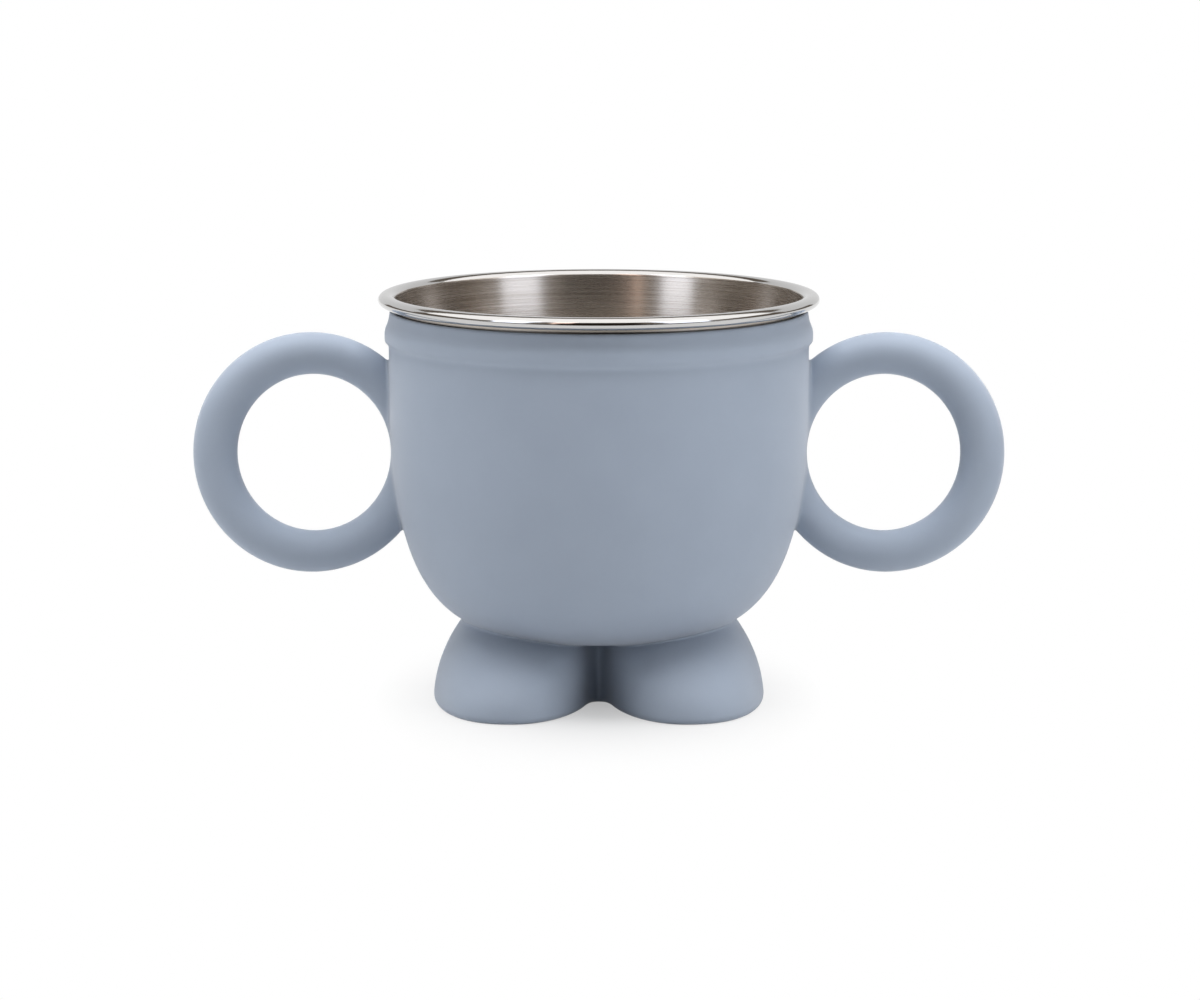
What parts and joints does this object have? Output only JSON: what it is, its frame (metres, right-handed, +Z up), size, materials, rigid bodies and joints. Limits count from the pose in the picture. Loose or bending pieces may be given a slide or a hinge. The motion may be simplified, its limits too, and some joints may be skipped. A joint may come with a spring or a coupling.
{
  "type": "training cup",
  "caption": "Toddler's training cup: a steel cup with a rolled rim lifts out of a soft silicone sleeve that has ring handles at its sides and stands on rounded feet.",
  "frame": {"origin": "on the table, at the middle of the box, under the cup's axis", "axes": "+Z up along the cup's axis, +X through the right handle"},
  "size_m": [0.144, 0.078, 0.0722],
  "materials": {
    "steel": "stainless steel, brushed round the inside, with a polished rolled rim",
    "silicone": "matte moulded silicone, blue-grey"
  },
  "bodies": {
    "sleeve": {"silicone_sleeve": "silicone", "left_handle": "silicone", "right_handle": "silicone", "foot_base": "silicone"},
    "cup": {"steel_cup": "steel"}
  },
  "joints": [
    {"name": "cup_lift", "type": "slide", "parent": "sleeve", "child": "cup", "axis": [0, 0, 1], "range_m": [0, 0.06]}
  ]
}
